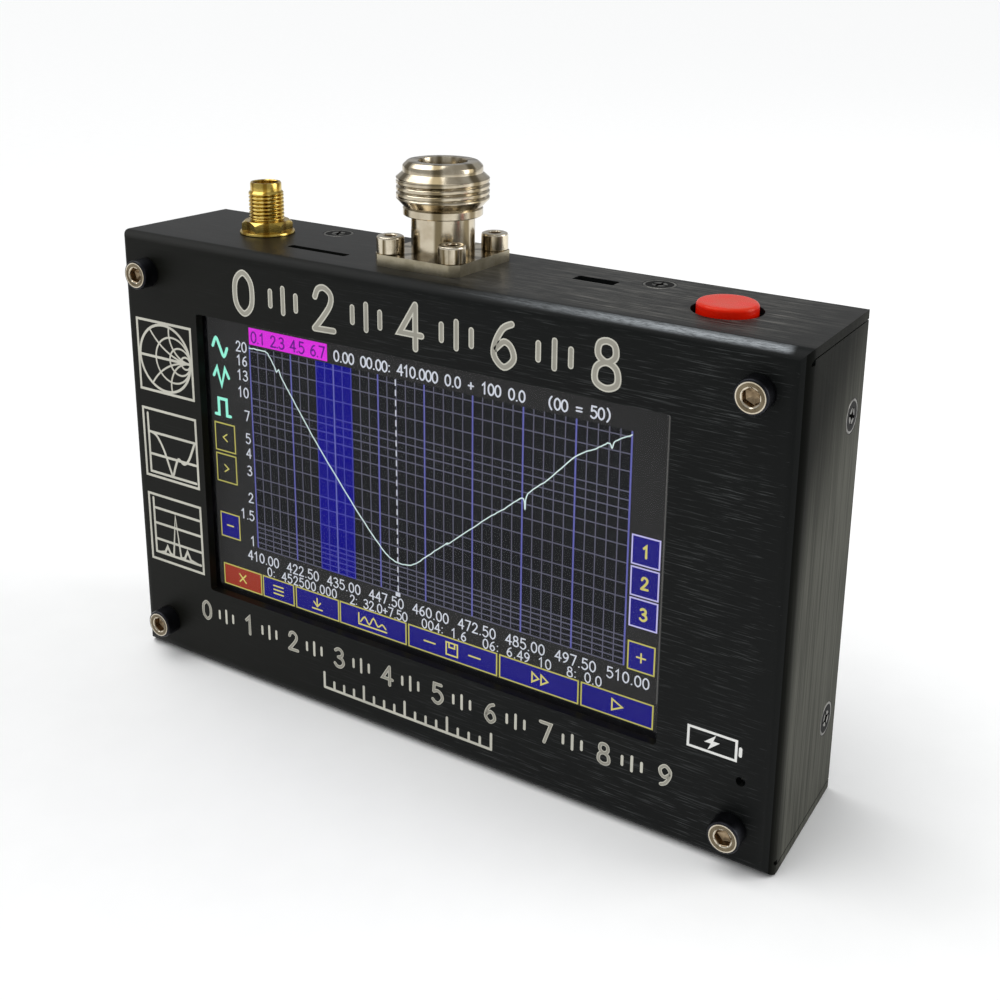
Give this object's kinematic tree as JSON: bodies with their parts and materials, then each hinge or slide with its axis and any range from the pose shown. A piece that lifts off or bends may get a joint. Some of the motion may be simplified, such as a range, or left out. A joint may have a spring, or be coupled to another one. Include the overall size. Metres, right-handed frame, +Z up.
{
  "type": "antenna analyzer",
  "caption": "Hand-held antenna analyzer: folded aluminium case, touch display, two coaxial sockets and a power button on top, boards and battery inside.",
  "frame": {"origin": "centre of the case's bottom face", "axes": "+X to the right seen from the front, the display faces -Y, +Z up towards the sockets"},
  "size_m": [0.135, 0.03, 0.1026],
  "materials": {
    "black_anodised": "brushed, anodised",
    "black_cover": "anodised",
    "black_screw": "black oxide",
    "bright_steel": "nickel plated",
    "nickel_brass": "nickel plated, turned",
    "gold_brass": "gold plated, turned",
    "white_insulator": "smooth",
    "plain_brass": "turned",
    "black_foam": "foam",
    "touch_film": "clear film",
    "display_glass": "polarised",
    "display_steel": "pressed",
    "amber_ribbon": "satin film",
    "green_board": "solder mask",
    "black_plastic": "moulded",
    "white_plastic": "moulded",
    "shield_tin": "tinned",
    "socket_steel": "plated",
    "lamp_resin": "clear resin",
    "red_cap": "polished",
    "cell_pouch": "foil pouch",
    "white_tape": "foam tape",
    "wire_red": "insulation",
    "spring_steel": "drawn wire"
  },
  "bodies": {
    "case": {"front_shell": "black_anodised", "rear_cover": "black_cover", "cover_screws": "black_screw", "panel_screws": "bright_steel", "window_gasket": "black_foam", "touch_panel": "touch_film", "lcd_glass": "display_glass", "lcd_frame": "display_steel", "lcd_tape": "black_foam", "lcd_ribbon": "amber_ribbon", "ribbon_socket": "white_plastic", "main_board": "green_board", "front_standoffs": "plain_brass", "rear_standoffs": "plain_brass", "processor_chip": "black_plastic", "memory_chip": "black_plastic", "clock_crystal": "shield_tin", "card_socket": "socket_steel", "charge_led": "lamp_resin", "board_link": "black_plastic", "rf_board": "green_board", "board_screws": "bright_steel", "shield_fence": "shield_tin", "shield_lid": "shield_tin", "synthesizer_chip": "black_plastic", "charger_chip": "black_plastic", "power_inductor": "black_plastic", "usb_socket": "socket_steel", "n_socket_body": "nickel_brass", "n_socket_insulator": "white_insulator", "n_socket_contact": "gold_brass", "n_flange_screws": "bright_steel", "n_flange_nuts": "bright_steel", "sma_body": "gold_brass", "sma_insulator": "white_insulator", "sma_contact": "gold_brass", "sma_washer": "gold_brass", "sma_nut": "gold_brass", "switch_housing": "black_plastic", "switch_spring": "spring_steel", "battery_cell": "cell_pouch", "battery_tape": "white_tape", "battery_guard_board": "green_board", "battery_socket": "white_plastic", "battery_plug": "white_plastic", "battery_wires": "wire_red"},
    "button": {"button_cap": "red_cap", "switch_plunger": "white_plastic"}
  },
  "joints": [
    {"name": "button_press", "type": "slide", "parent": "case", "child": "button", "axis": [0, 0, -1], "range_m": [0, 0.0015], "stiffness_N_per_m": 500, "springref_m": -0.002, "deforming": ["switch_spring"]}
  ]
}
